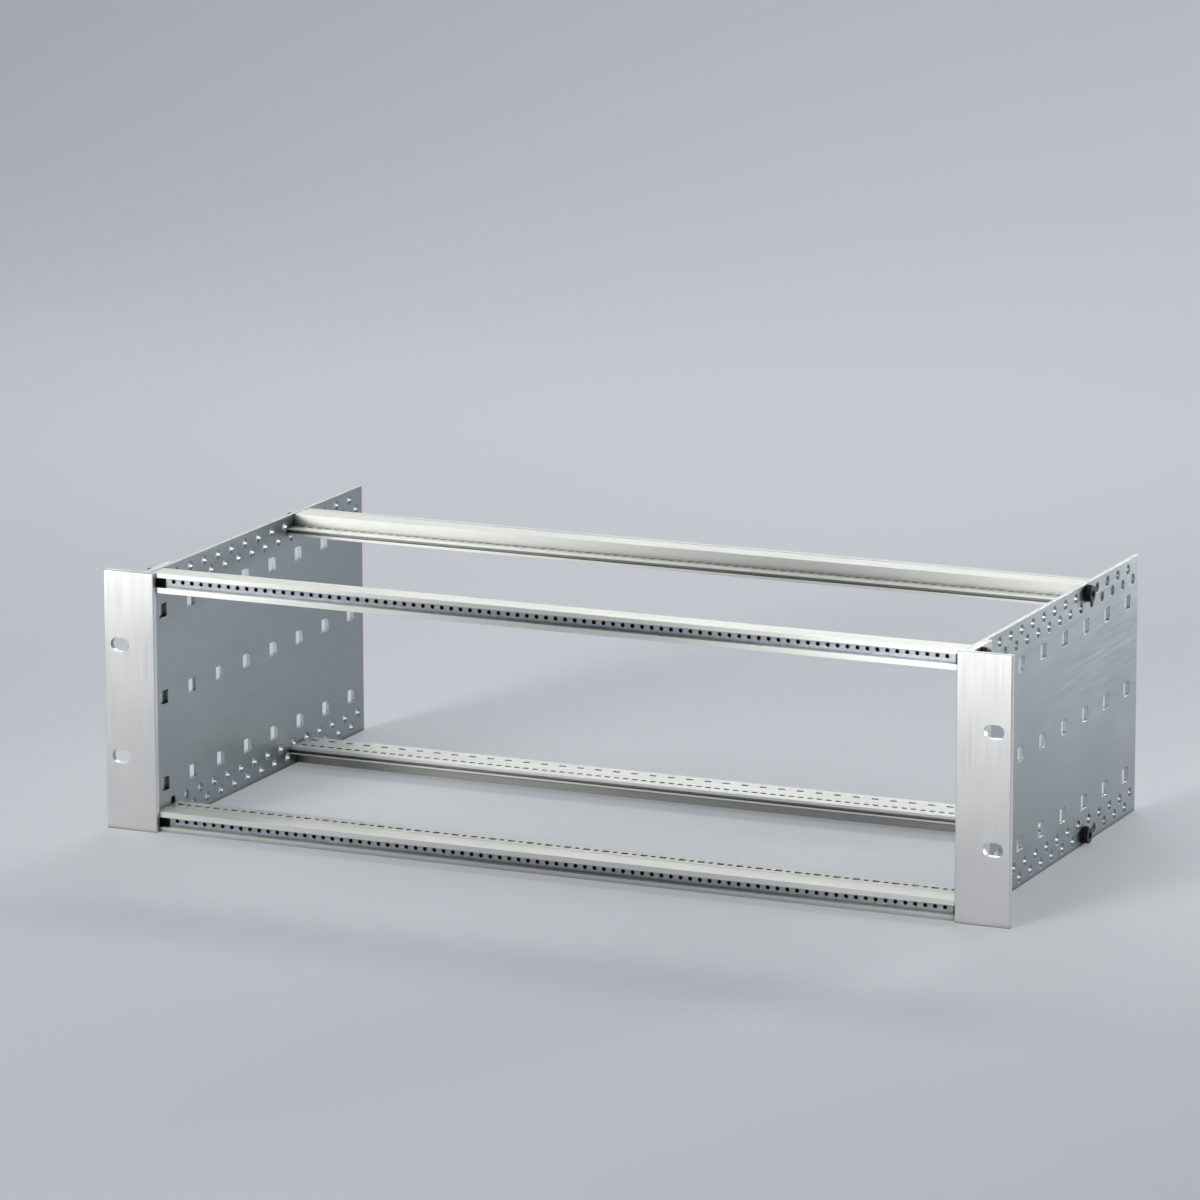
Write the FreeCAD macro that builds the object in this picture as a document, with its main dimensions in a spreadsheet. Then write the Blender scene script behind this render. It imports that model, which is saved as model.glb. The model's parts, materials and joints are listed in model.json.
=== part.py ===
import FreeCAD, Part
import math
import os
import re

import Sketcher

# Subrack card cage for circuit cards: two perforated side plates held apart by four extruded
# rails, with a mounting flange on each side for a 19-inch rack.
# X runs across the rack, Y from the front to the back, Z up. The origin is at the middle of the
# footprint, on the surface that the cage stands on. All sizes are in millimetres.

SIZES = {
    # overall
    "unit_height": (132.5, "height of plates and flanges: three rack units less the stacking gap"),
    "flange_span": (482.6, "width over both flanges: the 19-inch rack width"),
    "opening_width": (426.72, "clear width between the flanges: 84 steps of 5.08"),
    "rail_length": (431.8, "length of each rail, which sets the side plates apart"),
    # side plates
    "plate_thick": (2.0, "sheet of the side plates"),
    "plate_depth": (237.0, "side plate from its front edge to its back edge"),
    "plate_corner": (1.0, "corner radius of the side plates"),
    "hole_pitch": (15.0, "step of the side plates' hole rows"),
    "axis_inset": (5.0, "rail axes and outer hole rows, in from the plate's long edges"),
    "inner_inset": (11.25, "inner hole rows, in from the plate's long edges"),
    "slot_steps": (2, "hole steps from one square slot to the next"),
    "rack_units": (3, "rack units in the height, each with one row of slots"),
    "stacking_gap": (0.85, "what three rack units lose to the gap between neighbours"),
    "slot_width": (8.0, "slot size front to back"),
    "slot_height": (7.0, "slot size up and down"),
    # mounting flanges
    "flange_thick": (3.0, "front leg of the flange"),
    "leg_thick": (2.5, "side leg of the flange, on the side plate"),
    "leg_depth": (25.0, "side leg of the flange, behind the front leg"),
    "flange_edge": (0.4, "bevel round the flange's front face"),
    "rack_spacing_across": (465.1, "rack fixing slots, centre to centre across"),
    "rack_inset": (37.675, "rack fixing slots, in from the flange's ends: 57.15 apart"),
    "rack_slot_length": (10.3, "rack fixing slot, end to end"),
    "rack_slot_width": (6.8, "rack fixing slot, across"),
    # both rail profiles
    "rail_height": (10.0, "rail from its outer face to its guide face"),
    "rail_depth": (24.0, "rail from its slotted face to the edge of its guide lip"),
    "axis_setback": (12.0, "screw axis behind the rail's slotted face"),
    "axis_height": (4.75, "screw axis above the rail's outer face"),
    "throat_height": (5.0, "mouth of the strip slot"),
    "throat_depth": (4.7, "from the slotted face to the strip"),
    "chamber_height": (7.0, "space for the strip, up and down"),
    "chamber_depth": (2.4, "space for the strip, front to back"),
    # front rails
    "guide_thick": (2.0, "guide lip of a front rail"),
    "guide_groove_setback": (13.2, "fine groove in the guide face, behind the slotted face"),
    "guide_groove_width": (1.0, "fine groove, across"),
    "guide_groove_depth": (0.4, "fine groove, deep"),
    # rear rails
    "rear_steps": (10, "hole steps from the front rail axis to the rear rail axis"),
    "web_depth": (16.0, "rear rail from its slotted face to its flat web face"),
    "rear_guide_thick": (4.0, "guide lip of a rear rail"),
    "lip_groove_height": (1.6, "groove along the edge of a rear rail's guide lip"),
    "lip_groove_depth": (2.0, "the same groove, deep"),
    "lip_groove_offset": (0.9, "ledge between the lip's upper side and the groove"),
    "outer_groove_setback": (3.2, "fine groove in a rear rail's outer face"),
    "outer_groove_width": (1.2, "the same groove, across"),
    "outer_groove_depth": (0.7, "the same groove, deep"),
    # punched rows in the guide faces
    "card_step": (5.08, "step of the card grid"),
    "guide_pairs": (42, "pairs of one long and one short window in a front rail's row"),
    "guide_row_edge": (6.0, "front rail's row, in from the edge of the guide lip"),
    "long_window": (3.8, "long guide window, along the rail"),
    "long_window_width": (3.0, "long guide window, across the rail"),
    "short_window": (2.4, "short guide window, along the rail"),
    "short_window_width": (2.6, "short guide window, across the rail"),
    "rear_row_edge": (6.5, "rear rail's lip row, in from the edge of the guide lip"),
    "rear_windows": (84, "windows in a rear rail's lip row"),
    "rear_window": (3.0, "window of the rear lip row, along the rail"),
    "rear_window_width": (2.2, "windows of both rear rows, across the rail"),
    # threaded strips
    "strip_length": (420.0, "threaded strip, end to end"),
    "strip_slack": (0.2, "play of the strip in its chamber"),
    "strip_holes": (82, "threaded holes in a strip"),
    "strip_hole_size": (2.1, "core of the strip's 2.5 mm thread"),
    # rail screws
    "screw_size": (5.0, "thread of the rail screws"),
    "thread_slack": (0.1, "shank drawn under the tapped hole"),
    "hole_slack": (0.2, "through hole over the screw size"),
    "core_step": (0.8, "rail's extruded core hole under the screw size"),
    "front_reach": (11.5, "front screws' length inside the rail"),
    "rear_reach": (10.0, "rear screws' length inside the rail"),
    "tap_runout": (2.5, "tapped hole past the end of the front screw"),
    "head_width": (8.5, "screw head, across"),
    "head_height": (3.5, "screw head, high: a low head"),
    "head_bevel": (0.5, "bevel of the head and of the shank's tip"),
    "socket_across": (3.0, "hexagon socket across its flats"),
    "socket_depth": (2.0, "hexagon socket, deep"),
}

# Places that more than one piece uses, written with the sizes above.
FRONT = "(-(flange_thick + plate_depth) / 2)"
RAIL_FACE = f"({FRONT} + flange_thick)"
FRONT_AXIS = f"({RAIL_FACE} + axis_setback)"
REAR_AXIS = f"({FRONT_AXIS} + rear_steps * hole_pitch)"
REAR_FACE = f"({REAR_AXIS} + axis_setback)"
PLATE_OUTSIDE = "(rail_length / 2 + plate_thick)"
LOW_AXIS = "axis_inset"
HIGH_AXIS = "(unit_height - axis_inset)"
SLOT_RISE = "((unit_height + stacking_gap) / rack_units)"
ROW_HOLES = "floor((plate_depth - axis_setback) / hole_pitch)"
SLOT_COLUMNS = f"floor(({ROW_HOLES} + slot_steps - 1) / slot_steps)"
THROAT_LOW = "(axis_height - throat_height / 2)"
THROAT_HIGH = "(axis_height + throat_height / 2)"
CHAMBER_LOW = "(axis_height - chamber_height / 2)"
CHAMBER_HIGH = "(axis_height + chamber_height / 2)"
CHAMBER_BACK = "(throat_depth + chamber_depth)"
STRIP_THICK = "(chamber_depth - strip_slack)"
SHANK_WIDTH = "(screw_size - thread_slack)"
CLEAR_HOLE = "(screw_size + hole_slack)"

START, END, CENTRE = 1, 2, 3

doc = FreeCAD.newDocument("SubrackCardCage")


def size_sheet():
    """The spreadsheet of driving sizes: what each is, its value and its alias."""
    sheet = doc.addObject("Spreadsheet::Sheet", "Sizes")
    for row, (alias, (value, meaning)) in enumerate(SIZES.items(), start=1):
        sheet.set(f"A{row}", meaning)
        sheet.set(f"B{row}", str(value))
        sheet.setAlias(f"B{row}", alias)
    doc.recompute()
    return sheet


def tied(expression):
    """The expression with each size name pointed at the sheet."""
    return re.sub(r"[a-z_]+", lambda word: f"Sizes.{word[0]}" if word[0] in SIZES else word[0], expression)


def worth(item, expression):
    """What an expression comes to now."""
    return float(item.evalExpression(tied(expression)))


def bind(item, **expressions):
    """Tie properties of an object to the sheet; a double underscore stands for a dot."""
    for name, expression in expressions.items():
        item.setExpression(name.replace("__", "."), tied(expression))


# Sketch helpers


def new_body(label, x="0", y="0", z="0"):
    body = doc.addObject("PartDesign::Body", label)
    body.Label = label
    bind(body, Placement__Base__x=x, Placement__Base__y=y, Placement__Base__z=z)
    return body


def origin_plane(body, role):
    return next(item for item in body.Origin.OriginFeatures if item.Role == role)


def sketch_on(body, role, lift="0"):
    """A sketch on one of the body's own origin planes, lifted along the plane's normal."""
    sketch = body.newObject("Sketcher::SketchObject", "Sketch")
    sketch.AttachmentSupport = [(origin_plane(body, role), "")]
    sketch.MapMode = "FlatFace"
    bind(sketch, AttachmentOffset__Base__z=lift)
    return sketch


def spot(sketch, x, y):
    return FreeCAD.Vector(worth(sketch, x), worth(sketch, y), 0)


def constrain(sketch, kind, *where, expression):
    """Add one constraint with a value and tie the value to the sheet."""
    value = worth(sketch, expression)
    index = sketch.addConstraint(Sketcher.Constraint(kind, *where, value))
    sketch.setExpression(f"Constraints[{index}]", tied(expression))


def pin(sketch, geometry, point, x=None, y=None):
    """Hold one point of the sketch at x, at y or at both."""
    if x is not None:
        constrain(sketch, "DistanceX", -1, START, geometry, point, expression=x)
    if y is not None:
        constrain(sketch, "DistanceY", -1, START, geometry, point, expression=y)


def outline(sketch, corners, arcs=None):
    """A closed outline through the corners.

    arcs maps a corner's number to the centre of a counter-clockwise arc that runs from it to the
    next corner, whose x then follows from the arc.
    """
    arcs = arcs or {}
    spots = [spot(sketch, x, y) for x, y in corners]
    first = sketch.GeometryCount
    for index, start in enumerate(spots):
        end = spots[(index + 1) % len(spots)]
        if index in arcs:
            centre = spot(sketch, *arcs[index])
            circle = Part.Circle(centre, FreeCAD.Vector(0, 0, 1), start.distanceToPoint(centre))
            span = [math.atan2(p.y - centre.y, p.x - centre.x) for p in (start, end)]
            sketch.addGeometry(Part.ArcOfCircle(circle, *span), False)
        else:
            sketch.addGeometry(Part.LineSegment(start, end), False)
    for index, (x, y) in enumerate(corners):
        here = first + index
        following = first + (index + 1) % len(corners)
        sketch.addConstraint(Sketcher.Constraint("Coincident", here, END, following, START))
        pin(sketch, here, START, x=None if index - 1 in arcs else x, y=y)
        if index in arcs:
            pin(sketch, here, CENTRE, *arcs[index])


def rectangle(sketch, x, y, width, height):
    """A rectangle about its centre."""
    left, right = f"{x} - {width} / 2", f"{x} + {width} / 2"
    low, high = f"{y} - {height} / 2", f"{y} + {height} / 2"
    outline(sketch, [(left, low), (right, low), (right, high), (left, high)])


def circle(sketch, x, y, diameter):
    radius = worth(sketch, diameter) / 2
    index = sketch.addGeometry(Part.Circle(spot(sketch, x, y), FreeCAD.Vector(0, 0, 1), radius), False)
    pin(sketch, index, CENTRE, x, y)
    constrain(sketch, "Diameter", index, expression=diameter)


def obround(sketch, x, y, length, width):
    """A slot with round ends that lies along the sketch's x."""
    reach = f"({length} - {width}) / 2"
    ends = [(f"{x} - {reach}", y), (f"{x} + {reach}", y)]
    radius = worth(sketch, width) / 2
    up = FreeCAD.Vector(0, radius, 0)
    left, right = (spot(sketch, *end) for end in ends)
    axis = FreeCAD.Vector(0, 0, 1)
    quarter = math.pi / 2
    shapes = [
        Part.ArcOfCircle(Part.Circle(left, axis, radius), quarter, 3 * quarter),
        Part.LineSegment(left - up, right - up),
        Part.ArcOfCircle(Part.Circle(right, axis, radius), -quarter, quarter),
        Part.LineSegment(right + up, left + up),
    ]
    first = sketch.GeometryCount
    sketch.addGeometry(shapes, False)
    for index in range(len(shapes)):
        following = first + (index + 1) % len(shapes)
        sketch.addConstraint(Sketcher.Constraint("Tangent", first + index, END, following, START))
    pin(sketch, first, CENTRE, *ends[0])
    pin(sketch, first + 2, CENTRE, *ends[1])
    sketch.addConstraint(Sketcher.Constraint("Equal", first, first + 2))
    constrain(sketch, "Radius", first, expression=f"{width} / 2")


# Feature helpers


def pad(body, sketch, length, side="One side", backwards=False):
    feature = body.newObject("PartDesign::Pad", "Pad")
    feature.Profile = sketch
    feature.SideType = side
    feature.Reversed = backwards
    bind(feature, Length=length)
    return feature


def pocket(body, sketch, depth=None, backwards=False):
    """Cut the sketch to a depth, or right through both ways where no depth is given."""
    feature = body.newObject("PartDesign::Pocket", "Pocket")
    feature.Profile = sketch
    if depth is None:
        feature.Type = "ThroughAll"
        feature.SideType = "Symmetric"
    else:
        feature.Reversed = backwards
        bind(feature, Length=depth)
    return feature


def row(body, feature, step, count):
    """Repeat a feature along its own sketch's x."""
    pattern = body.newObject("PartDesign::LinearPattern", "Row")
    pattern.Originals = [feature]
    pattern.Direction = (feature.Profile[0], ["H_Axis"])
    pattern.Mode = "Spacing"
    bind(pattern, Offset=step, Occurrences=count)
    body.Tip = pattern
    return pattern


def mirror_in_body(body, feature, role):
    copy = body.newObject("PartDesign::Mirrored", "Mirrored")
    copy.Originals = [feature]
    copy.MirrorPlane = (origin_plane(body, role), [""])
    body.Tip = copy
    return copy


def edges_where(feature, wanted):
    """Names of the feature's edges that a test picks."""
    doc.recompute()
    return [f"Edge{n}" for n, edge in enumerate(feature.Shape.Edges, start=1) if wanted(edge)]


def opposite_hand(label, source, normal, **base):
    """A piece that is another piece's mirror image."""
    copy = doc.addObject("Part::Mirroring", label)
    copy.Label = label
    copy.Source = source
    copy.Normal = normal
    bind(copy, **base)
    return copy


# Side plates


def side_plate(label, x):
    """A flat plate with two rows of round holes along each long edge and a grid of slots."""
    body = new_body(label, x, RAIL_FACE, "0")
    face = sketch_on(body, "YZ_Plane")
    outline(face, [("0", "0"), ("plate_depth", "0"), ("plate_depth", "unit_height"), ("0", "unit_height")])
    sheet = pad(body, face, "plate_thick")

    corners = body.newObject("PartDesign::Fillet", "Corners")
    corners.Base = (sheet, edges_where(sheet, lambda edge: abs(edge.tangentAt(0).x) > 0.9))
    bind(corners, Radius="plate_corner")

    outer_rows = sketch_on(body, "YZ_Plane")
    for height in (LOW_AXIS, HIGH_AXIS):
        circle(outer_rows, "axis_setback", height, CLEAR_HOLE)
    row(body, pocket(body, outer_rows), "hole_pitch", ROW_HOLES)

    inner_rows = sketch_on(body, "YZ_Plane")
    for height in ("inner_inset", "unit_height - inner_inset"):
        circle(inner_rows, "axis_setback + hole_pitch / 2", height, CLEAR_HOLE)
    row(body, pocket(body, inner_rows), "hole_pitch", ROW_HOLES)

    slots = sketch_on(body, "YZ_Plane")
    for unit in range(SIZES["rack_units"][0]):
        height = f"({unit} + 0.5) * {SLOT_RISE} - stacking_gap / 2"
        rectangle(slots, "axis_setback", height, "slot_width", "slot_height")
    row(body, pocket(body, slots), "slot_steps * hole_pitch", SLOT_COLUMNS)
    return body


# Mounting flanges


def mounting_flange(label):
    """The left flange: an extruded angle with its front leg on both sides of its side leg."""
    body = new_body(label, f"-{PLATE_OUTSIDE}", FRONT, "0")
    outside = f"{PLATE_OUTSIDE} - flange_span / 2"
    inside = f"{PLATE_OUTSIDE} - opening_width / 2"
    back = "flange_thick + leg_depth"
    section = sketch_on(body, "XY_Plane")
    outline(
        section,
        [
            (outside, "0"),
            (inside, "0"),
            (inside, "flange_thick"),
            ("0", "flange_thick"),
            ("0", back),
            ("-leg_thick", back),
            ("-leg_thick", "flange_thick"),
            (outside, "flange_thick"),
        ],
    )
    angle = pad(body, section, "unit_height")

    bevel = body.newObject("PartDesign::Chamfer", "FaceBevel")
    bevel.Base = (angle, edges_where(angle, lambda edge: abs(edge.BoundBox.YMax) < 1e-6))
    bind(bevel, Size="flange_edge")

    rack_slots = sketch_on(body, "XZ_Plane")
    across = f"{PLATE_OUTSIDE} - rack_spacing_across / 2"
    for height in ("rack_inset", "unit_height - rack_inset"):
        obround(rack_slots, across, height, "rack_slot_length", "rack_slot_width")
    pocket(body, rack_slots)

    screw_holes = sketch_on(body, "YZ_Plane")
    for height in (LOW_AXIS, HIGH_AXIS):
        circle(screw_holes, "flange_thick + axis_setback", height, CLEAR_HOLE)
    pocket(body, screw_holes)
    return body


# Rails


def slotted_face(forward):
    """Corners of the strip slot from its upper lip to its lower lip; forward is + or -."""
    return [
        ("0", THROAT_HIGH),
        (f"{forward} throat_depth", THROAT_HIGH),
        (f"{forward} throat_depth", CHAMBER_HIGH),
        (f"{forward} {CHAMBER_BACK}", CHAMBER_HIGH),
        (f"{forward} {CHAMBER_BACK}", CHAMBER_LOW),
        (f"{forward} throat_depth", CHAMBER_LOW),
        (f"{forward} throat_depth", THROAT_LOW),
        ("0", THROAT_LOW),
    ]


def tap_ends(body, axis):
    """Open the core hole to the thread at both ends of a rail."""
    tapped = sketch_on(body, "YZ_Plane", "rail_length / 2")
    circle(tapped, axis, "axis_height", "screw_size")
    end = pocket(body, tapped, "front_reach + tap_runout")
    mirror_in_body(body, end, "YZ_Plane")


def window_row(body, first, across, length, width, depth, step, count):
    """Punch a row of windows down into the guide face."""
    window = sketch_on(body, "XY_Plane", "rail_height")
    rectangle(window, first, across, length, width)
    row(body, pocket(body, window, depth), step, count)


def front_rail(label):
    """The lower front rail: strip slot in front, screw core behind it, guide lip at the back."""
    body = new_body(label, "0", RAIL_FACE, f"{LOW_AXIS} - axis_height")
    lip_under = "(rail_height - guide_thick)"
    boss_meets_lip = f"axis_setback + sqrt(axis_height^2 - ({lip_under} - axis_height)^2)"
    section = sketch_on(body, "YZ_Plane")
    outline(
        section,
        [
            ("0", "0"),
            ("axis_setback", "0"),
            (boss_meets_lip, lip_under),
            ("rail_depth", lip_under),
            ("rail_depth", "rail_height"),
            ("guide_groove_setback + guide_groove_width / 2", "rail_height"),
            ("guide_groove_setback", "rail_height - guide_groove_depth"),
            ("guide_groove_setback - guide_groove_width / 2", "rail_height"),
            ("0", "rail_height"),
            *slotted_face(""),
        ],
        arcs={1: ("axis_setback", "axis_height")},
    )
    circle(section, "axis_setback", "axis_height", "screw_size - core_step")
    pad(body, section, "rail_length", side="Symmetric")
    tap_ends(body, "axis_setback")

    row_line = "rail_depth - guide_row_edge"
    pair_step = "2 * card_step"
    first_long = "(0.5 - guide_pairs) * card_step"
    first_short = "(1.5 - guide_pairs) * card_step"
    window_row(
        body, first_long, row_line, "long_window", "long_window_width",
        "guide_thick", pair_step, "guide_pairs",
    )
    window_row(
        body, first_short, row_line, "short_window", "short_window_width",
        "guide_thick", pair_step, "guide_pairs",
    )
    return body


def rear_rail(label):
    """The lower rear rail: strip slot at the back, flat web, grooved guide lip in front."""
    body = new_body(label, "0", REAR_FACE, f"{LOW_AXIS} - axis_height")
    lip_under = "(rail_height - rear_guide_thick)"
    groove_low = f"({lip_under} + lip_groove_offset)"
    groove_high = f"({groove_low} + lip_groove_height)"
    groove_bottom = "(lip_groove_depth - rail_depth)"
    section = sketch_on(body, "YZ_Plane")
    outline(
        section,
        [
            ("0", "0"),
            *slotted_face("-")[::-1],
            ("0", "rail_height"),
            ("-rail_depth", "rail_height"),
            ("-rail_depth", groove_high),
            (groove_bottom, groove_high),
            (groove_bottom, groove_low),
            ("-rail_depth", groove_low),
            ("-rail_depth", lip_under),
            ("-web_depth", lip_under),
            ("-web_depth", "0"),
            ("-outer_groove_setback - outer_groove_width / 2", "0"),
            ("-outer_groove_setback", "outer_groove_depth"),
            ("-outer_groove_setback + outer_groove_width / 2", "0"),
        ],
    )
    circle(section, "-axis_setback", "axis_height", "screw_size - core_step")
    pad(body, section, "rail_length", side="Symmetric")
    tap_ends(body, "-axis_setback")

    lip_row = "rear_row_edge - rail_depth"
    first_window = "(0.5 - rear_windows / 2) * card_step"
    window_row(
        body, first_window, lip_row, "rear_window", "rear_window_width",
        "rear_guide_thick", "card_step", "rear_windows",
    )
    over_chamber = "-(throat_depth + chamber_depth / 2)"
    first_long = "(0.5 - guide_pairs) * card_step"
    wall = f"rail_height - {CHAMBER_HIGH}"
    window_row(
        body, first_long, over_chamber, "long_window", "rear_window_width",
        wall, "2 * card_step", "guide_pairs",
    )
    return body


# Threaded strips


def threaded_strip(label, y, z):
    """A flat bar with a row of threaded holes, loose in a rail's slot."""
    body = new_body(label, "0", y, z)
    front = sketch_on(body, "XZ_Plane")
    rectangle(front, "0", "0", "strip_length", "(chamber_height - strip_slack)")
    pad(body, front, STRIP_THICK, backwards=True)
    hole = sketch_on(body, "XZ_Plane")
    circle(hole, "(1 - strip_holes) / 2 * card_step", "0", "strip_hole_size")
    row(body, pocket(body, hole), "card_step", "strip_holes")
    return body


# Rail screws


def rail_screw(label, side, seat, y, z, length):
    """A cap screw with a hexagon socket; side is -1 on the left and 1 on the right."""
    body = new_body(label, f"{side} * {seat}", y, z)
    if side > 0:
        body.Placement.Rotation = FreeCAD.Rotation(FreeCAD.Vector(0, 0, 1), 180)
    half = sketch_on(body, "XY_Plane")
    outline(
        half,
        [
            ("-head_height", "0"),
            (length, "0"),
            (length, f"{SHANK_WIDTH} / 2 - head_bevel"),
            (f"{length} - head_bevel", f"{SHANK_WIDTH} / 2"),
            ("0", f"{SHANK_WIDTH} / 2"),
            ("0", "head_width / 2"),
            ("head_bevel - head_height", "head_width / 2"),
            ("-head_height", "head_width / 2 - head_bevel"),
        ],
    )
    turned = body.newObject("PartDesign::Revolution", "Turned")
    turned.Profile = half
    turned.ReferenceAxis = (half, ["H_Axis"])

    socket = sketch_on(body, "YZ_Plane", "-head_height")
    point = "socket_across / sqrt(3)"
    flat = "socket_across / 2"
    outline(
        socket,
        [
            (point, "0"),
            (f"{point} / 2", flat),
            (f"-{point} / 2", flat),
            (f"-{point}", "0"),
            (f"-{point} / 2", f"-{flat}"),
            (f"{point} / 2", f"-{flat}"),
        ],
    )
    pocket(body, socket, "socket_depth", backwards=True)
    return body


def rail_screws():
    """The eight screws: through flange and plate in front, through the plate at the back."""
    places = {
        "front": (f"({PLATE_OUTSIDE} + leg_thick)", FRONT_AXIS, "(front_reach + plate_thick + leg_thick)"),
        "rear": (PLATE_OUTSIDE, REAR_AXIS, "(rear_reach + plate_thick)"),
    }
    screws = []
    for end, (seat, y, length) in places.items():
        for level, z in (("bottom", LOW_AXIS), ("top", HIGH_AXIS)):
            for hand, side in (("left", -1), ("right", 1)):
                screws.append(rail_screw(f"{end}_{level}_screw_{hand}", side, seat, y, z, length))
    return screws


# The whole cage


def card_cage():
    """Every piece of the cage, in its place."""
    up = FreeCAD.Vector(0, 0, 1)
    across = FreeCAD.Vector(1, 0, 0)
    flange = mounting_flange("mounting_flange_left")
    front = front_rail("front_rail_bottom")
    rear = rear_rail("rear_rail_bottom")
    front_strip_y = f"{RAIL_FACE} + throat_depth"
    rear_strip_y = f"{REAR_FACE} - throat_depth - {STRIP_THICK}"
    return [
        side_plate("side_plate_left", f"-{PLATE_OUTSIDE}"),
        side_plate("side_plate_right", "rail_length / 2"),
        flange,
        opposite_hand("mounting_flange_right", flange, across),
        front,
        opposite_hand("front_rail_top", front, up, Base__z="unit_height / 2"),
        rear,
        opposite_hand("rear_rail_top", rear, up, Base__z="unit_height / 2"),
        threaded_strip("front_strip_bottom", front_strip_y, LOW_AXIS),
        threaded_strip("front_strip_top", front_strip_y, HIGH_AXIS),
        threaded_strip("rear_strip_bottom", rear_strip_y, LOW_AXIS),
        threaded_strip("rear_strip_top", rear_strip_y, HIGH_AXIS),
        *rail_screws(),
    ]


def check(pieces):
    """Stop if a feature failed or a piece isn't one whole solid."""
    for item in doc.Objects:
        if {"Invalid", "Error"} & set(item.State):
            raise RuntimeError(f"{item.Label} failed: {item.State}")
    for item in doc.findObjects("Sketcher::SketchObject"):
        if item.solve() != 0:
            raise RuntimeError(f"{item.Label} can't be solved")
    for piece in pieces:
        shape = piece.Shape
        if shape.isNull() or not shape.isValid() or len(shape.Solids) != 1:
            raise RuntimeError(f"{piece.Label} is not one valid solid")


def main():
    size_sheet()
    pieces = card_cage()
    doc.recompute()
    check(pieces)
    os.makedirs("parts", exist_ok=True)
    for piece in pieces:
        piece.Shape.exportStep(f"parts/{piece.Label}.step")
        box = piece.Shape.BoundBox
        print(f"{piece.Label}: {piece.Shape.Volume:.1f} mm3, {box}")


main()
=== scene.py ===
import json
import math

import bmesh
import bpy
from mathutils import Matrix, Vector


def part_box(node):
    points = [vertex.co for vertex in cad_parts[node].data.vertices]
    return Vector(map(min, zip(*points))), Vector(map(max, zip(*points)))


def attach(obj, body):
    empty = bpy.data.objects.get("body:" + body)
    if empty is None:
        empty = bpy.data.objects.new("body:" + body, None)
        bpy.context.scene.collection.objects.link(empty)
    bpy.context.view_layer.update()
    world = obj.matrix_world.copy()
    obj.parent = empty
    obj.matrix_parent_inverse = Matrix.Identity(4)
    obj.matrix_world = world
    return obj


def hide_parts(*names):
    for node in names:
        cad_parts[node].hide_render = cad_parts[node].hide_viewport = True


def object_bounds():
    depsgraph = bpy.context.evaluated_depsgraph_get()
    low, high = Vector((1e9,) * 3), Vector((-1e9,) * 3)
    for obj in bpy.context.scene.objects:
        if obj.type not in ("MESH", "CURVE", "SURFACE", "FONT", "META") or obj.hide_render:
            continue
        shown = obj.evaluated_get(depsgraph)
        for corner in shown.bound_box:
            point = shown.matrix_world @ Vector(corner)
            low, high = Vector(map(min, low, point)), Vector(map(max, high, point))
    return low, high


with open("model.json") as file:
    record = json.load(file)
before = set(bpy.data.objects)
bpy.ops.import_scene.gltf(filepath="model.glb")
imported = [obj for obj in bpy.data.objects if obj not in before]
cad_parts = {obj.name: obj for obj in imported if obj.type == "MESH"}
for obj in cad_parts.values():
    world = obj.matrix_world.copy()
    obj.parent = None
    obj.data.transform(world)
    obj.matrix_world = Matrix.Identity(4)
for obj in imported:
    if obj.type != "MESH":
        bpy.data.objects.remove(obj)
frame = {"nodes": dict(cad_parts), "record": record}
cad_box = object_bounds()
nodes = frame["nodes"]
scene = bpy.context.scene


# Camera, fitted to the photograph. Sensor and lens are in millimetres, all else is in metres.

SENSOR = 36.0
LENS = 201.46
FAR_CLIP = 50.0
CAMERA_PLACE = (1.3216, -2.9964, 0.8334)
CAMERA_RIGHT = (0.912382, 0.409334, -0.002010)
CAMERA_AHEAD = (-0.400194, 0.890956, -0.214574)


def place_camera():
    data = bpy.data.cameras.new("camera")
    data.sensor_width = SENSOR
    data.lens = LENS
    data.clip_end = FAR_CLIP
    cam = bpy.data.objects.new("camera", data)
    scene.collection.objects.link(cam)
    ahead = Vector(CAMERA_AHEAD).normalized()
    up = Vector(CAMERA_RIGHT).cross(ahead).normalized()
    right = ahead.cross(up).normalized()
    turn = Matrix((right, up, -ahead)).transposed().to_4x4()
    cam.matrix_world = Matrix.Translation(CAMERA_PLACE) @ turn
    scene.camera = cam


# Node trees

COLOUR_FIRST = 6      # a Mix node's sockets for colours
COLOUR_SECOND = 7
COLOUR_RESULT = 2


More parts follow.
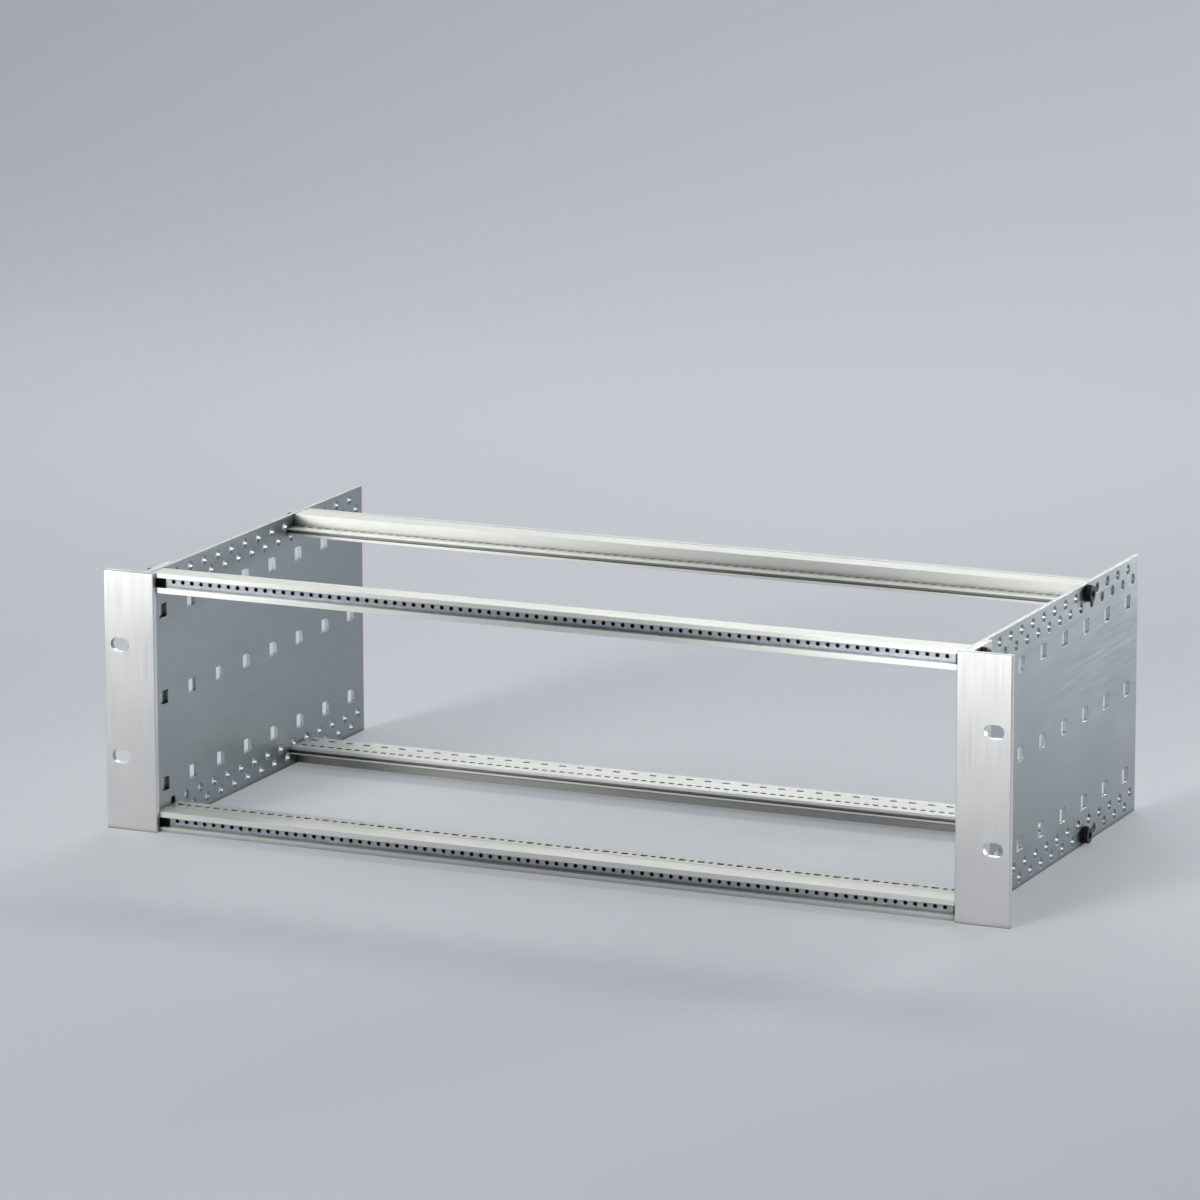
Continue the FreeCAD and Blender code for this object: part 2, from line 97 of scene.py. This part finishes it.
class Shader:
    """A material's node tree, with short ways to add and link nodes."""

    def __init__(self, name):
        self.material = bpy.data.materials.new(name)
        self.material.use_nodes = True
        self.tree = self.material.node_tree
        self.surface = self.tree.nodes["Principled BSDF"]

    def add(self, kind, **settings):
        node = self.tree.nodes.new("ShaderNode" + kind)
        for key, value in settings.items():
            setattr(node, key, value)
        return node

    def feed(self, socket, value):
        """Link an output to the socket, or set the socket's own value."""
        if isinstance(value, bpy.types.NodeSocket):
            self.tree.links.new(value, socket)
        else:
            socket.default_value = value

    def where(self, scale=(1.0, 1.0, 1.0)):
        """The object's own coordinates in metres, stretched by scale."""
        mapping = self.add("Mapping")
        mapping.inputs["Scale"].default_value = scale
        self.feed(mapping.inputs["Vector"], self.add("TexCoord").outputs["Object"])
        return mapping.outputs["Vector"]

    def axes(self):
        """The same coordinates one by one, as X, Y and Z."""
        node = self.add("SeparateXYZ")
        self.feed(node.inputs["Vector"], self.where())
        return node.outputs

    def noise(self, place, scale, detail=3.0, rough=0.5):
        node = self.add("TexNoise")
        self.feed(node.inputs["Vector"], place)
        node.inputs["Scale"].default_value = scale
        node.inputs["Detail"].default_value = detail
        node.inputs["Roughness"].default_value = rough
        return node.outputs["Fac"]

    def remap(self, value, low, high, to_low, to_high):
        node = self.add("MapRange")
        self.feed(node.inputs["Value"], value)
        node.inputs["From Min"].default_value = low
        node.inputs["From Max"].default_value = high
        node.inputs["To Min"].default_value = to_low
        node.inputs["To Max"].default_value = to_high
        return node.outputs["Result"]

    def math(self, operation, first, second=0.0):
        node = self.add("Math", operation=operation)
        self.feed(node.inputs[0], first)
        self.feed(node.inputs[1], second)
        return node.outputs["Value"]

    def blend(self, amount, first, second, how="MIX"):
        """From colour first, where amount is 0, to second, or to both joined as how says, where it is 1."""
        node = self.add("Mix", data_type="RGBA", blend_type=how)
        self.feed(node.inputs["Factor"], amount)
        self.feed(node.inputs[COLOUR_FIRST], first)
        self.feed(node.inputs[COLOUR_SECOND], second)
        return node.outputs[COLOUR_RESULT]

    def bump(self, height, distance, under):
        node = self.add("Bump")
        node.inputs["Distance"].default_value = distance
        node.inputs["Strength"].default_value = 1.0
        self.feed(node.inputs["Height"], height)
        self.feed(node.inputs["Normal"], under)
        return node.outputs["Normal"]


def rgb(red, green, blue):
    return (red, green, blue, 1.0)


# Metals

GRAIN_SHARE = 0.6           # of the tone, the rest is the cloud
CLOUD_SCALE = 18.0
CLOUD_DETAIL = 2.0
TONES = (0.35, 0.65)        # the range of tone that is spread from dark to light
GLOSS_CHANGE = 0.04         # how far the roughness follows the tone, each way
EDGE_RADIUS = 0.0003        # metres from an edge that are rounded and worn
EDGE_SAMPLES = 4
WORN_TURNS = (0.8, 0.97)    # cosine of the rounded normal's turn, from fully worn to not at all
WORN_SHARE = 0.6
WORN_COLOUR = rgb(0.86, 0.87, 0.87)
NICK_SCALE = 260.0
PAINTED_SHADE_SAMPLES = 6
PAINTED_SHADE_CLOSED_AT = 0.3             # openness of a hollow where its painted shade is darkest
CUT_DEPTH = 0.0001          # metres of the cage's ends that count as cut edge, lighter also as a painted highlight


def worn_edges(s, rounded):
    """1 on a fully worn edge, where the rounded normal turns away from the face, but uneven along it."""
    turned = s.add("VectorMath", operation="DOT_PRODUCT")
    s.feed(turned.inputs[0], rounded)
    s.feed(turned.inputs[1], s.add("NewGeometry").outputs["True Normal"])
    spots = s.noise(s.where(), NICK_SCALE, detail=4.0, rough=0.6)
    nicks = s.remap(spots, low=0.42, high=0.6, to_low=0.25, to_high=1.0)
    worn = s.remap(turned.outputs["Value"], *WORN_TURNS, to_low=1.0, to_high=0.0)
    return s.math("MULTIPLY", worn, nicks)


def cut_ends_and_painted_highlight(s):
    """1 on the cage's top, bottom and rear end, where the sheet is cut and a painted highlight is laid on,
    and 0 elsewhere.
    """
    low, high = cad_box
    axes = s.axes()
    off_middle = s.math("ABSOLUTE", s.math("SUBTRACT", axes["Z"], (low[2] + high[2]) / 2))
    ends = s.math("GREATER_THAN", off_middle, (high[2] - low[2]) / 2 - CUT_DEPTH)
    rear = s.math("GREATER_THAN", axes["Y"], high[1] - CUT_DEPTH)
    return s.math("MAXIMUM", ends, rear)


def metal(name, dark, light, rough, grain, stretch, depth, reach, gloom, open_at=0.85, shine=1.0, cut=None):
    """Bare metal with fine grain lines along one axis, a cloudy tone, worn edges and painted shade in
    recesses.

    The tone goes from dark to light. The lines are noise of the scale grain, pulled out by stretch and
    depth metres deep. Painted shade darkens the colour in recesses, corners and near other parts, to gloom
    within reach metres, and not where a place is as open as open_at. The colour cut, where given, is that
    of cut sheet, laid on brighter as a painted highlight too.
    """
    s = Shader(name)
    lines = s.noise(s.where(stretch), grain)
    cloud = s.noise(s.where(), CLOUD_SCALE, CLOUD_DETAIL)
    grained = s.math("MULTIPLY", lines, GRAIN_SHARE)
    tone = s.math("ADD", grained, s.math("MULTIPLY", cloud, 1.0 - GRAIN_SHARE))
    edge = s.add("Bevel", samples=EDGE_SAMPLES)
    edge.inputs["Radius"].default_value = EDGE_RADIUS
    worn = worn_edges(s, edge.outputs["Normal"])
    colour = s.blend(s.remap(tone, *TONES, to_low=0.0, to_high=1.0), dark, light)
    # Cut sheet colour on the cage's outer ends, brighter also as a painted highlight; hole walls don't get
    # it.
    if cut:
        colour = s.blend(cut_ends_and_painted_highlight(s), colour, cut)
    colour = s.blend(s.math("MULTIPLY", worn, WORN_SHARE), colour, WORN_COLOUR)
    # Painted shade: ambient occlusion darkens the colour in holes, slots, corners, joints and near the
    # floor.
    painted_shade_ao = s.add("AmbientOcclusion", samples=PAINTED_SHADE_SAMPLES)
    painted_shade_ao.inputs["Distance"].default_value = reach
    shade = s.remap(painted_shade_ao.outputs["AO"], PAINTED_SHADE_CLOSED_AT, open_at, to_low=gloom, to_high=1.0)
    roughness = s.remap(tone, *TONES, to_low=rough - GLOSS_CHANGE, to_high=rough + GLOSS_CHANGE)
    s.feed(s.surface.inputs["Base Color"], s.blend(1.0, colour, shade, how="MULTIPLY"))
    s.feed(s.surface.inputs["Metallic"], shine)
    s.feed(s.surface.inputs["Roughness"], roughness)
    s.feed(s.surface.inputs["Normal"], s.bump(lines, depth, edge.outputs["Normal"]))
    return s


def flange_aluminium():
    """Light aluminium, brushed upright."""
    s = metal(
        "flange_aluminium", rgb(0.775, 0.77, 0.75), rgb(0.82, 0.81, 0.785), rough=0.36,
        grain=1400.0, stretch=(1.0, 1.0, 0.02), depth=0.0000025, reach=0.003, gloom=0.4)
    s.surface.inputs["Anisotropic"].default_value = 0.3
    return s.material


def plate_aluminium():
    """Darker, bluish sheet with its grain from front to back and brighter cut edges, partly a painted
    highlight.
    """
    return metal(
        "plate_aluminium", rgb(0.335, 0.38, 0.395), rgb(0.378, 0.425, 0.437), rough=0.42,
        grain=600.0, stretch=(1.0, 0.04, 1.0), depth=0.000006, reach=0.004, gloom=0.12, open_at=0.8,
        cut=rgb(0.6, 0.61, 0.6)).material


def rail_aluminium():
    """Creamy, matte extrusion with its grain from side to side."""
    return metal(
        "rail_aluminium", rgb(0.76, 0.765, 0.71), rgb(0.83, 0.835, 0.78), rough=0.42,
        grain=700.0, stretch=(0.015, 1.0, 1.0), depth=0.000006, reach=0.008, gloom=0.1, open_at=0.7,
        shine=0.6).material


def strip_zinc():
    """Satin zinc with its grain from side to side, set darker than bare zinc as painted shade of the slot
    it sits in.
    """
    return metal(
        "strip_zinc", rgb(0.48, 0.52, 0.55), rgb(0.60, 0.64, 0.67), rough=0.32,
        grain=800.0, stretch=(0.05, 1.0, 1.0), depth=0.0000015, reach=0.004, gloom=0.1).material


def screw_black():
    """Black oxide with a fine uneven tone and gloss."""
    s = Shader("screw_black")
    grime = s.noise(s.where(), scale=1800.0)
    colour = s.blend(grime, rgb(0.012, 0.012, 0.014), rgb(0.035, 0.035, 0.04))
    s.feed(s.surface.inputs["Base Color"], colour)
    s.feed(s.surface.inputs["Metallic"], 0.6)
    s.feed(s.surface.inputs["Roughness"], s.remap(grime, low=0.3, high=0.7, to_low=0.2, to_high=0.34))
    return s.material


def make_materials():
    """The finished materials by the names of their slots in the record."""
    return {
        "mounting_flange": flange_aluminium(),
        "side_plate": plate_aluminium(),
        "rail": rail_aluminium(),
        "threaded_strip": strip_zinc(),
        "screw": screw_black(),
    }


def dress(materials):
    """Give each CAD solid the material of its slot in the record."""
    slots = {part["node"]: part["material_slot"] for part in frame["record"]["subparts"]}
    for name, node in nodes.items():
        node.data.materials.clear()
        node.data.materials.append(materials[slots[name]])


# Screws, in metres. Places along the axis count from the seat of the head, minus towards the tip.

RIM = 96                    # points round each ring of a screw
TURNS = [2 * math.pi * k / RIM for k in range(RIM)]
HEAD = 0.0035               # height of the head
HEAD_R = 0.00425
HEAD_ROUND = 0.0005         # radius of the head's outer edge
ROUND_STEPS = 5
FOOT = 0.0002               # chamfer at the foot of the head
KNURLS = 48
KNURL_DEPTH = 0.00016
KNURLS_START = 0.0004
KNURLS_END = HEAD - 0.0007
KNURL_RISE = 0.0001         # length in which they grow to their depth, at both ends
FLATS = 0.0030              # hexagon socket across its flats
SOCKET_MOUTH_R = FLATS * 0.62
SOCKET_CHAMFER = 0.0003
SOCKET_WALL_END = 0.0019    # depths below the head's top
SOCKET_FLOOR = 0.0020
SOCKET_POINT = 0.0023
SOCKET_FLOOR_R = FLATS * 0.45
SOCKET_POINT_R = 0.0002
SHANK_R = 0.00245
NECK_R = SHANK_R - 0.0001
NECK = 0.0006               # length of the plain neck under the head
TIP_R = SHANK_R - 0.0006
TIP = 0.0005                # length of the tapered tip
PLAIN = 0.0012              # length of the shank that has no thread: tip, neck and a run-out
THREAD = 0.0008             # thread pitch
THREAD_DEPTH = 0.00042
THREAD_RINGS = 6            # rings to each turn of the thread
CREASE = math.radians(35)   # sharper edges than this are shaded sharp


def circle(x, radius):
    return [(x, radius)] * RIM


def threaded(x):
    """A ring through the thread, whose groove comes round once in each pitch."""
    ring = []
    for turn in TURNS:
        step = (x / THREAD + turn / (2 * math.pi)) % 1.0
        ring.append((x, SHANK_R - THREAD_DEPTH * abs(2 * step - 1)))
    return ring


def knurled(x):
    return [(x, HEAD_R - KNURL_DEPTH * (0.5 + 0.5 * math.cos(KNURLS * turn))) for turn in TURNS]


def hexagon(x):
    ring = []
    for turn in TURNS:
        off = (turn + math.pi / 6) % (math.pi / 3) - math.pi / 6
        ring.append((x, FLATS / 2 / math.cos(off)))
    return ring


def shank_rings(length):
    rings = [circle(-length, TIP_R)]
    steps = int((length - PLAIN) / (THREAD / THREAD_RINGS))
    for k in range(steps + 1):
        rings.append(threaded(-length + TIP + k * THREAD / THREAD_RINGS))
    rings.append(circle(-NECK, NECK_R))
    rings.append(circle(0.0, NECK_R))
    return rings


def head_rings():
    rings = [
        circle(0.0, HEAD_R - FOOT),
        circle(FOOT, HEAD_R),
        circle(KNURLS_START, HEAD_R),
        knurled(KNURLS_START + KNURL_RISE),
        knurled(KNURLS_END - KNURL_RISE),
        circle(KNURLS_END, HEAD_R),
    ]
    for k in range(1, ROUND_STEPS + 1):
        bend = math.radians(90 * k / ROUND_STEPS)
        radius = HEAD_R - HEAD_ROUND * (1 - math.cos(bend))
        rings.append(circle(HEAD - HEAD_ROUND + HEAD_ROUND * math.sin(bend), radius))
    return rings


def socket_rings():
    return [
        circle(HEAD, SOCKET_MOUTH_R),
        hexagon(HEAD - SOCKET_CHAMFER),
        hexagon(HEAD - SOCKET_WALL_END),
        circle(HEAD - SOCKET_FLOOR, SOCKET_FLOOR_R),
        circle(HEAD - SOCKET_POINT, SOCKET_POINT_R),
    ]


def screw_mesh(name, rings, seat, outward, middle):
    """A closed skin over rings of (place along the axis, radius) that look outward from the seat."""
    mesh = bpy.data.meshes.new(name)
    build = bmesh.new()
    rows = []
    for ring in rings:
        row = []
        for turn, (x, radius) in zip(TURNS, ring):
            y = middle.y + radius * math.cos(turn)
            z = middle.z + radius * math.sin(turn)
            row.append(build.verts.new((seat + outward * x, y, z)))
        rows.append(row)
    for first, second in zip(rows, rows[1:]):
        for k in range(RIM):
            build.faces.new((first[k], first[(k + 1) % RIM], second[(k + 1) % RIM], second[k]))
    build.faces.new(rows[0])
    build.faces.new(rows[-1])
    bmesh.ops.recalc_face_normals(build, faces=build.faces)
    build.to_mesh(mesh)
    build.free()
    for face in mesh.polygons:
        face.use_smooth = True
    mesh.set_sharp_from_angle(angle=CREASE)
    return mesh


def make_screw(node, material):
    """A black socket screw with a knurled head and a cut thread, in the place of its CAD solid."""
    low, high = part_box(node)
    outward = 1.0 if node.endswith("right") else -1.0
    seat = (high.x if outward > 0 else low.x) - outward * HEAD
    length = (high.x - low.x) - HEAD
    rings = shank_rings(length) + head_rings() + socket_rings()
    mesh = screw_mesh(node + "_detail", rings, seat, outward, (low + high) / 2)
    mesh.materials.append(material)
    screw = bpy.data.objects.new(node + "_detail", mesh)
    scene.collection.objects.link(screw)
    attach(screw, "root")
    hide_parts(node)


# Floor and backdrop, in metres

SHEET_REACH = 6.0           # to the front and to either side
SHEET_TOP = 5.0
SWEEP_START = 1.2           # where the floor begins to rise behind the cage
SWEEP_RADIUS = 1.2
SWEEP_STEPS = 24
GLOW_HEIGHTS = (0.05, 1.6)  # the glow grows between these heights
GLOW_SHARES = (0.2, 0.7)


def paper():
    """Matte pale paper that glows a little to the camera and in reflections, but lights nothing."""
    s = Shader("backdrop_paper")
    s.surface.inputs["Base Color"].default_value = rgb(0.82, 0.84, 0.87)
    s.surface.inputs["Roughness"].default_value = 0.9
    s.surface.inputs["Specular IOR Level"].default_value = 0.1
    path = s.add("LightPath").outputs
    passing = s.math("MAXIMUM", path["Is Glossy Ray"], path["Is Transmission Ray"])
    seen = s.math("MAXIMUM", path["Is Camera Ray"], passing)
    share = s.remap(s.axes()["Z"], *GLOW_HEIGHTS, *GLOW_SHARES)
    glow = s.add("Emission")
    glow.inputs["Color"].default_value = rgb(0.78, 0.81, 0.85)
    mix = s.add("MixShader")
    s.feed(mix.inputs[0], s.math("MULTIPLY", seen, share))
    s.feed(mix.inputs[1], s.surface.outputs["BSDF"])
    s.feed(mix.inputs[2], glow.outputs["Emission"])
    s.feed(s.tree.nodes["Material Output"].inputs["Surface"], mix.outputs["Shader"])
    return s.material


def floor_and_backdrop():
    """A pale sheet that lies under the cage and sweeps up behind it."""
    profile = [(-SHEET_REACH, 0.0), (SWEEP_START, 0.0)]
    for k in range(1, SWEEP_STEPS + 1):
        angle = math.radians(90.0 * k / SWEEP_STEPS)
        back = SWEEP_START + SWEEP_RADIUS * math.sin(angle)
        profile.append((back, SWEEP_RADIUS * (1.0 - math.cos(angle))))
    profile.append((SWEEP_START + SWEEP_RADIUS, SHEET_TOP))
    mesh = bpy.data.meshes.new("backdrop")
    verts = [(x, y, z) for y, z in profile for x in (-SHEET_REACH, SHEET_REACH)]
    faces = [(2 * k, 2 * k + 1, 2 * k + 3, 2 * k + 2) for k in range(len(profile) - 1)]
    mesh.from_pydata(verts, [], faces)
    for face in mesh.polygons:
        face.use_smooth = True
    sheet = bpy.data.objects.new("backdrop", mesh)
    scene.collection.objects.link(sheet)
    mesh.materials.append(paper())


# Light: name, place, target and size of each lamp in metres, its watts and its spread in degrees

LAMPS = (
    ("key", (-0.42, -0.62, 0.22), (-0.27, -0.12, 0.125), (0.2, 0.1), 0.128, 36.0),
    ("kicker", (0.07, -0.58, 0.2), (0.25, -0.12, 0.11), (0.2, 0.1), 0.085, 32.0),
    ("back", (-0.45, 1.35, 1.25), (-0.05, 0.0, 0.05), (1.0, 0.3), 8.0, 180.0),
    ("side", (0.57, 0.85, 0.2), (0.218, 0.04, 0.105), (0.3, 0.15), 0.32, 44.0),
    ("sky", (0.0, -0.4, 2.6), (0.0, 0.1, 0.0), (2.4, 2.0), 8.5, 180.0),
    ("front", (-0.5, -1.8, 0.9), (0.0, -0.117, 0.06), (1.2, 0.5), 6.5, 180.0),
)
WORLD_COLOUR = rgb(0.80, 0.86, 0.95)
WORLD_STRENGTH = 0.22


def lamp(name, place, target, size, power, spread):
    data = bpy.data.lights.new(name, "AREA")
    data.shape = "RECTANGLE"
    data.size, data.size_y = size
    data.energy = power
    data.spread = math.radians(spread)
    light = bpy.data.objects.new(name, data)
    scene.collection.objects.link(light)
    light.location = place
    light.visible_camera = False
    light.rotation_euler = (Vector(target) - Vector(place)).to_track_quat("-Z", "Y").to_euler()


def light_scene():
    world = bpy.data.worlds.new("studio")
    scene.world = world
    world.use_nodes = True
    background = world.node_tree.nodes["Background"]
    background.inputs["Color"].default_value = WORLD_COLOUR
    background.inputs["Strength"].default_value = WORLD_STRENGTH
    for settings in LAMPS:
        lamp(*settings)


place_camera()
finishes = make_materials()
dress(finishes)
for name in nodes:
    if "_screw_" in name:
        make_screw(name, finishes["screw"])
floor_and_backdrop()
light_scene()
scene.view_settings.view_transform = "Standard"
